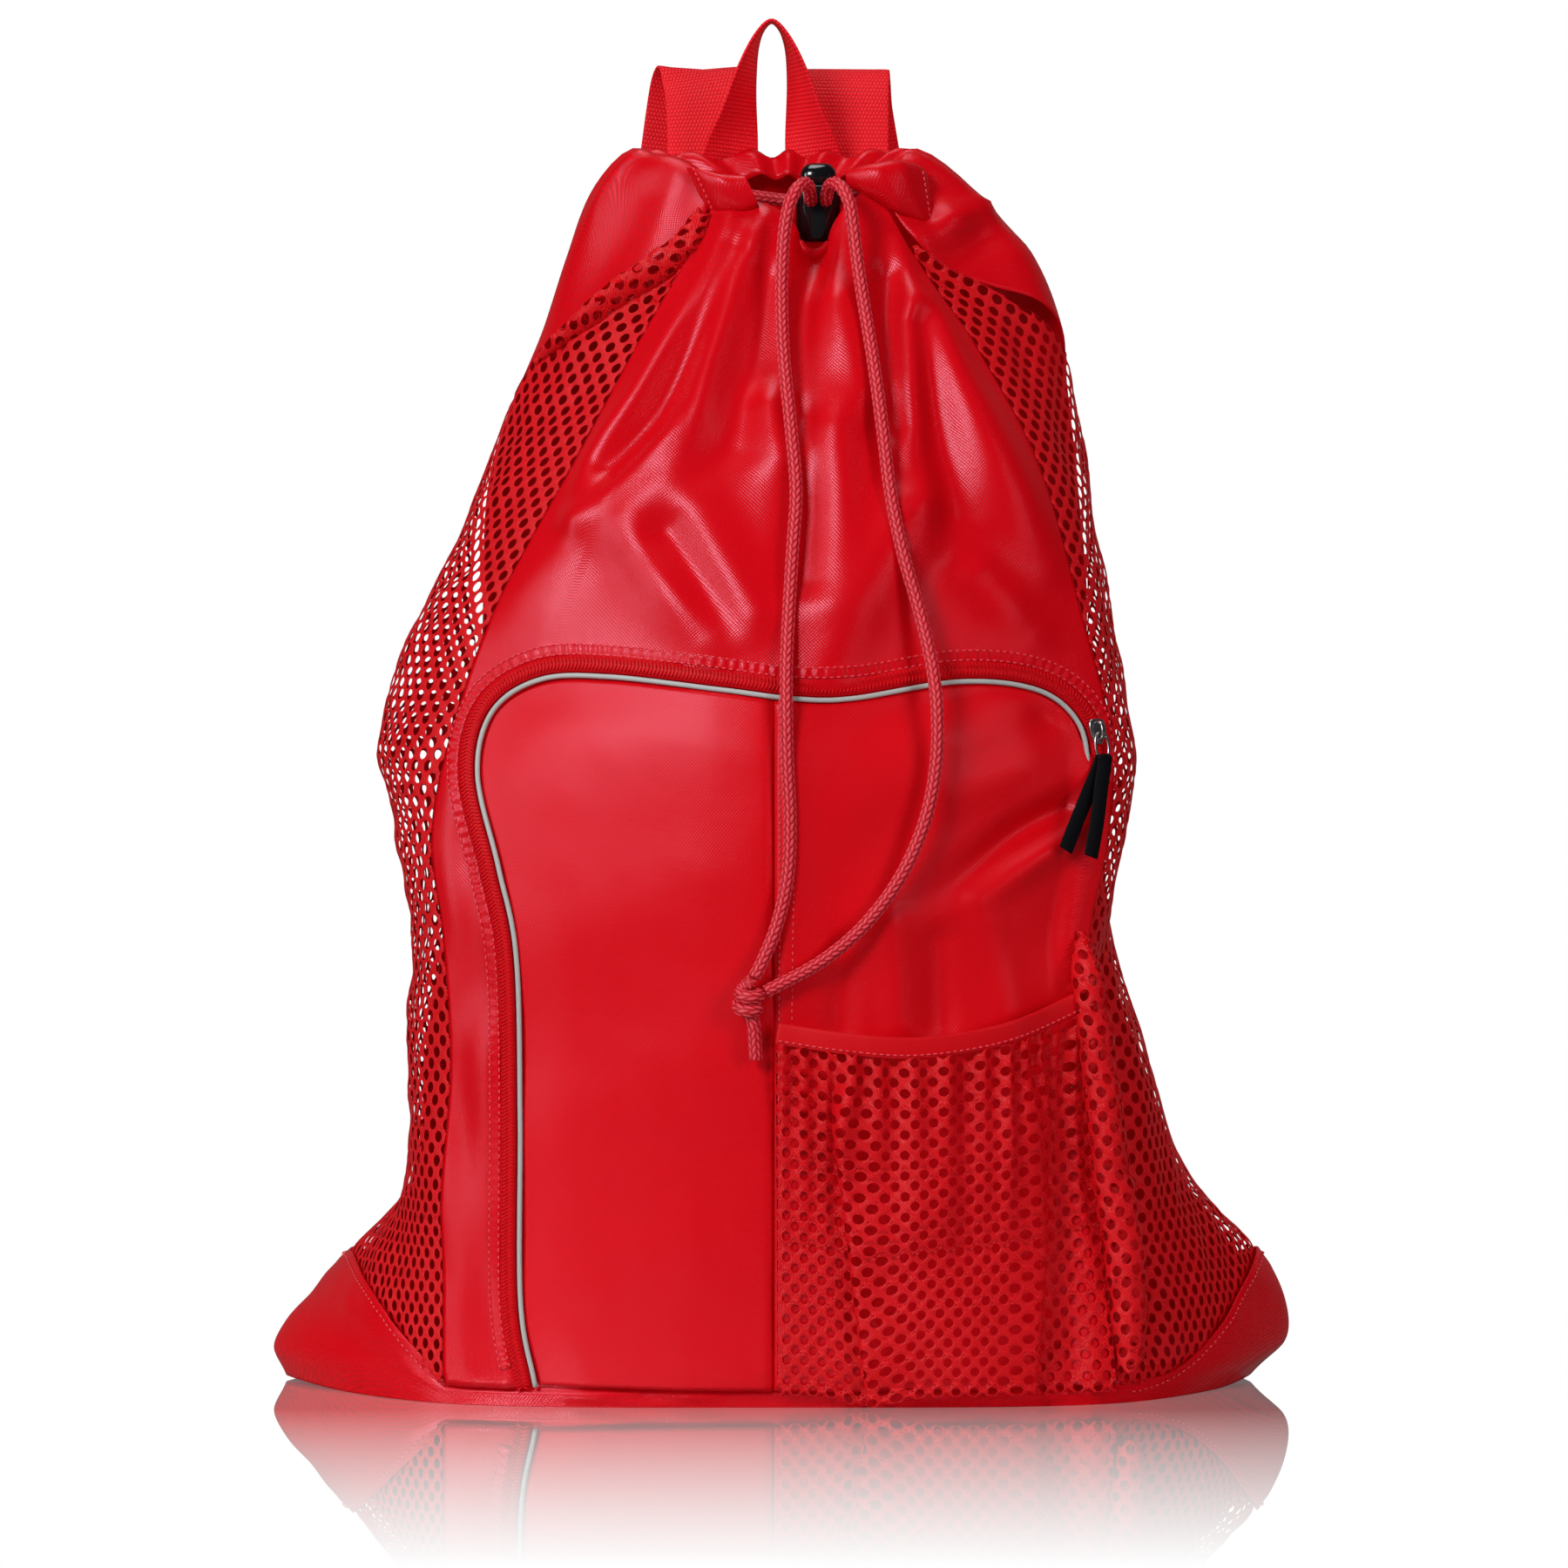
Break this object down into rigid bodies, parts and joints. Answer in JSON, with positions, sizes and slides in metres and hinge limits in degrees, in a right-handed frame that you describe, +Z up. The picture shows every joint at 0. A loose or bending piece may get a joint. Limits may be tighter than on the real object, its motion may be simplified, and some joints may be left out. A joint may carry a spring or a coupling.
{
  "type": "mesh equipment bag",
  "caption": "Standing drawstring backpack of solid nylon and open mesh, with a front zip pocket, a gathered mesh pocket, a hang loop and webbing shoulder straps.",
  "frame": {"origin": "on the floor, under the middle of the standing bag's outline without its drawcord", "axes": "+X to the right as seen from the front, +Y to the back with the shoulder straps, +Z up"},
  "size_m": [0.4326, 0.246, 0.5808],
  "materials": {
    "nylon": "red coated nylon twill with a soft sheen",
    "net": "red open knitted mesh",
    "tape": "red woven tape",
    "piping": "pale grey reflective piping",
    "webbing": "red ribbed webbing",
    "cord": "red braided cord",
    "black_plastic": "glossy black moulding",
    "black_ribbon": "black woven ribbon",
    "slider_metal": "plated zinc"
  },
  "bodies": {
    "bag": {"front_panel": "nylon", "back_panel": "nylon", "bottom_panel": "nylon", "pocket_face_left": "nylon", "pocket_face_right": "nylon", "side_mesh_left": "net", "side_mesh_right": "net", "mesh_pocket": "net", "zip_tape": "tape", "mesh_pocket_band": "tape", "pocket_piping": "piping", "hang_loop": "webbing", "shoulder_strap_left": "webbing", "shoulder_strap_right": "webbing", "drawcord_left": "cord", "drawcord_right": "cord", "drawcord_knot": "cord", "drawcord_tail": "cord", "cord_lock_body": "black_plastic", "zip_pull_ribbon": "black_ribbon", "zip_slider": "slider_metal", "zip_pull_link": "slider_metal"},
    "button": {"cord_lock_button": "black_plastic"}
  },
  "joints": [
    {"name": "cord_lock_press", "type": "slide", "parent": "bag", "child": "button", "axis": [0, 0, -1], "range_m": [0, 0.003], "stiffness_N_per_m": 400}
  ]
}
